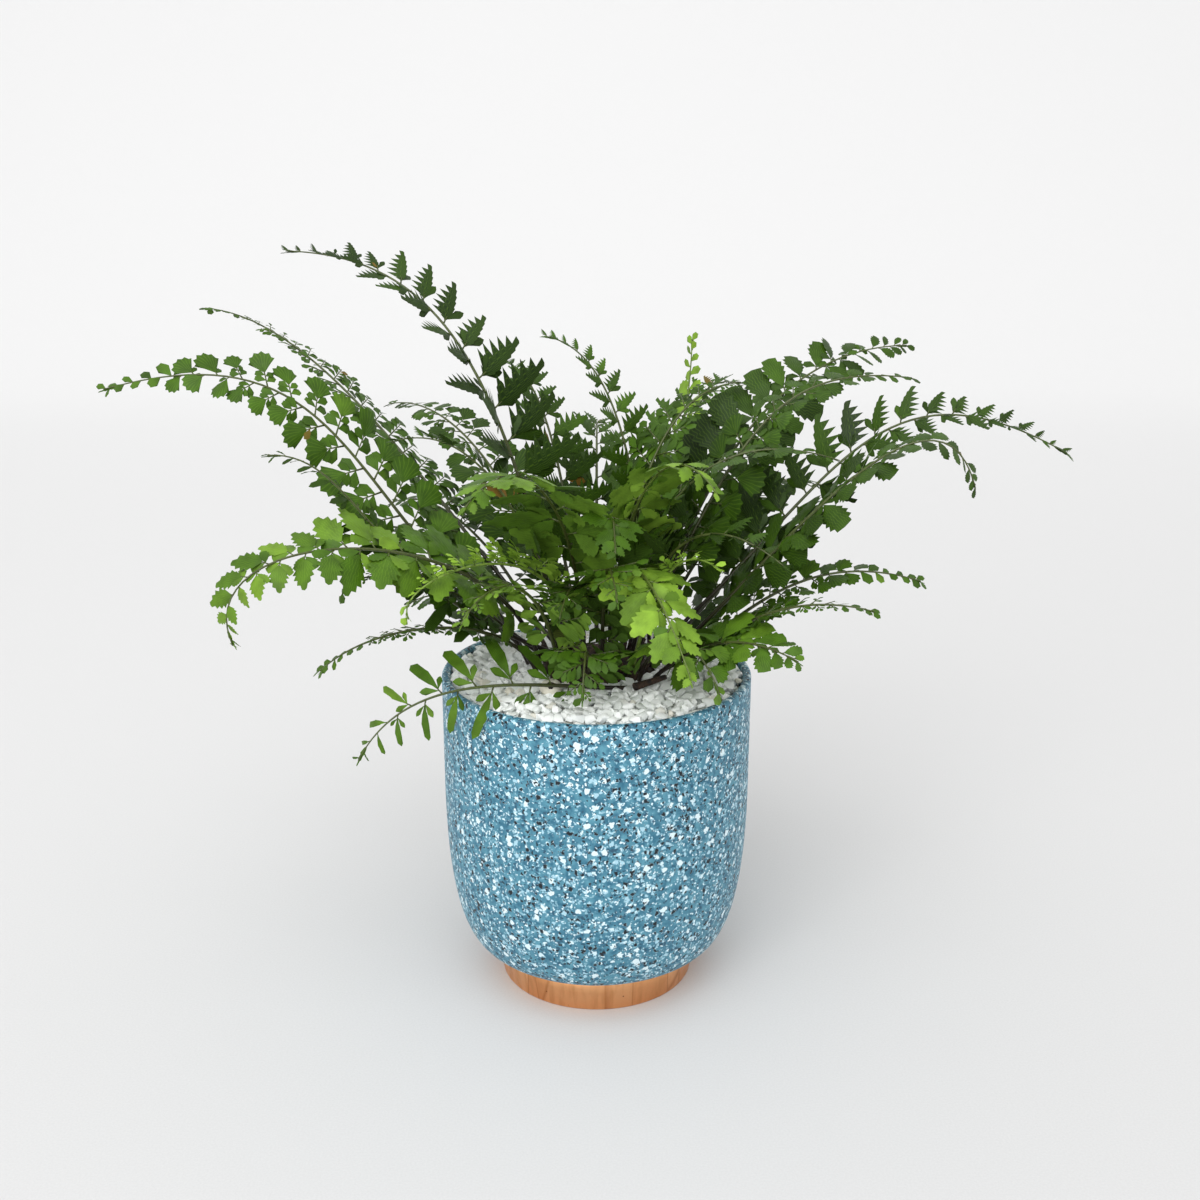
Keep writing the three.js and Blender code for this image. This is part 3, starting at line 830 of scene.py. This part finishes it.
def stalk_shape():
    """A pinna's stalk, one unit long and one unit thick at its foot."""
    bm = bmesh.new()
    along_y = Matrix.Translation((0, 0.5, 0)) @ Matrix.Rotation(-math.pi / 2, 4, "X")
    bmesh.ops.create_cone(bm, cap_ends=True, segments=4, radius1=0.5, radius2=0.3, depth=1, matrix=along_y)
    for face in bm.faces:
        face.material_index = 2
    bm.loops.layers.uv.new("leaf")
    return shape_mesh("pinna_stalk", bm)


def add_pinna(bm, shapes, row, base, length, side, share, rng):
    """One pinna on the flat frond: its stalk and its leaflets, each turned and tilted a little by chance."""
    form, tone = row[9], row[10]
    lean = math.radians(LEAN_AT_FOOT + LEAN_GAINED * share ** 2 + rng.uniform(-5, 5))
    heading = -lean if side == "left" else lean - math.pi
    lift = math.radians(rng.uniform(-2, 14) + LIFT.get(form, 0))
    twist = math.radians(rng.gauss(0, 9))
    pinna = (Matrix.Translation((base, 0, 0)) @ Matrix.Rotation(heading, 4, "Z")
             @ Matrix.Rotation(lift, 4, "X") @ Matrix.Rotation(twist, 4, "Y"))
    parts = pinna_parts(form, length, side)
    pinna_tone = tone + rng.gauss(0, 0.05)
    stalk_length = length * max(part[1] for part in parts) + 0.4 * STIPE_RADIUS + 0.6
    thickness = 0.45 + 0.02 * length
    place_copy(bm, shapes["stalk"], pinna @ Matrix.Diagonal((thickness, stalk_length, thickness, 1)),
               (pinna_tone, 0.5, 0.6, 1))
    for name, place, turn, size in parts:
        leaflet = length * size * rng.uniform(0.92, 1.08)
        matrix = (pinna @ Matrix.Translation((0, length * place, 0))
                  @ Matrix.Rotation(math.radians(-turn + rng.uniform(-7, 7)), 4, "Z")
                  @ Matrix.Rotation(math.radians(rng.gauss(-4, 8)), 4, "X")
                  @ Matrix.Rotation(math.radians(rng.gauss(0, 10)), 4, "Y")
                  @ Matrix.Diagonal((leaflet, leaflet, leaflet, 1)))
        own_tone = min(max(pinna_tone + rng.gauss(0, 0.05), 0), 1)
        place_copy(bm, shapes[name], matrix, (own_tone, rng.random(), share, 1))


def taper(share, form):
    """Length of a pinna as a share of the longest, which stands a little way up the blade."""
    if share < 0.15:
        return 0.75 + 1.6 * share
    return ((1 - share) / 0.85) ** TAPER[form]


def frond_piece(number, row, shapes, materials):
    """One whole frond: rachis, pinnae alternating up both sides, and a slender tip."""
    rng = random.Random(SEED * 100 + number)
    frames, length = frond_frames(row)
    reach, bare, form, tone = row[7:]
    bm = rachis_mesh(length, tone)
    blade_start = bare * length
    blade = length - blade_start
    pairs = round(CROWDING * blade / (PINNA_PITCH[form] * reach))
    for k in range(pairs):
        for side, step in (("left", 0.15), ("right", 0.62)):
            even = (k + step) / pairs
            share = 1 - (1 - even) ** CROWDING
            pinna_length = max(SHORTEST_PINNA, reach * taper(share, form) * rng.uniform(0.93, 1.07))
            add_pinna(bm, shapes, row, blade_start + blade * share, pinna_length, side, share, rng)
    end = 0.3 * reach + 3
    matrix = (Matrix.Translation((length - end * 0.75, 0, 0)) @ Matrix.Rotation(-math.pi / 2, 4, "Z")
              @ Matrix.Diagonal((end, end, end, 1)))
    place_copy(bm, shapes["point"], matrix, (tone, 0.5, 1, 1))
    bend_along(bm, frames, length)
    return finished(f"fern_frond_{number:02d}", bm, materials, [f"frond_{number:02d}"])


def fern():
    shapes = make_leaflets()
    shapes["stalk"] = stalk_shape()
    upper = leaf_surface("fern_blade_upper", "#182d05", "#476c13", "#9cc540", 0.48)
    lower = leaf_surface("fern_blade_lower", "#22350b", "#4d711d", "#9bc343", 0.6)
    materials = [upper, lower, stipe_skin()]
    for number, row in enumerate(FRONDS, start=1):
        frond_piece(number, row, shapes, materials)
    for shape in shapes.values():
        bpy.data.meshes.remove(shape)


# ---------------------------------------------------------------- stage

def seamless_floor():
    """Pale paper that lies flat under the pot and curves up behind it."""
    bm = bmesh.new()
    bmesh.ops.create_grid(bm, x_segments=2, y_segments=60, size=1)
    bend_start, bend_radius = 1.6, 1.2
    for vert in bm.verts:
        run = (vert.co.y + 1) / 2 * 8 - 2.5
        turn = min(max((run - bend_start) / bend_radius, 0), math.pi / 2)
        beyond = max(run - bend_start - bend_radius * math.pi / 2, 0)
        y = min(run, bend_start) + bend_radius * math.sin(turn)
        vert.co = (vert.co.x * 5, y, bend_radius * (1 - math.cos(turn)) + beyond)
    for face in bm.faces:
        face.smooth = True
    mesh = bpy.data.meshes.new("studio_floor")
    bm.to_mesh(mesh)
    bm.free()
    mesh.materials.append(studio_paper())
    floor = bpy.data.objects.new("studio_floor", mesh)
    bpy.context.scene.collection.objects.link(floor)


def soft_light(name, place, size, power, target=(0, 0, 0.22)):
    data = bpy.data.lights.new(name, "AREA")
    data.size = size
    data.energy = power
    lamp = bpy.data.objects.new(name, data)
    lamp.location = place
    lamp.rotation_euler = (Vector(target) - Vector(place)).to_track_quat("-Z", "Y").to_euler()
    bpy.context.scene.collection.objects.link(lamp)


def studio():
    scene = bpy.context.scene
    seamless_floor()
    world = bpy.data.worlds.new("soft_room")
    world.use_nodes = True
    world.node_tree.nodes["Background"].inputs["Color"].default_value = linear("#ffffff")
    world.node_tree.nodes["Background"].inputs["Strength"].default_value = 0.86
    scene.world = world
    soft_light("overhead", (-0.2, -1.0, 1.9), 1.5, 15)
    soft_light("front_left", (-0.9, -2.1, 1.3), 1.4, 21)
    data = bpy.data.cameras.new("eye")
    data.lens = LENS
    data.sensor_width = 36
    camera = bpy.data.objects.new("eye", data)
    camera.location = [c * MM for c in EYE]
    camera.rotation_euler = (math.radians(90 + EYE_PITCH), 0, 0)
    scene.collection.objects.link(camera)
    scene.camera = camera
    scene.view_settings.view_transform = "Standard"


studio()
pot_piece()
foot_piece()
white_marble = marble_chips()
dark_rhizome = scaly_rhizome()
chips_piece(white_marble)
crown_piece(dark_rhizome)
round_pebble(white_marble, dark_rhizome)
stalk_stub(dark_rhizome)
for filled in (o for o in bpy.data.objects if o.name == "potting_mix"):
    filled.data.materials.clear()
    filled.data.materials.append(potting_mix())
fern()
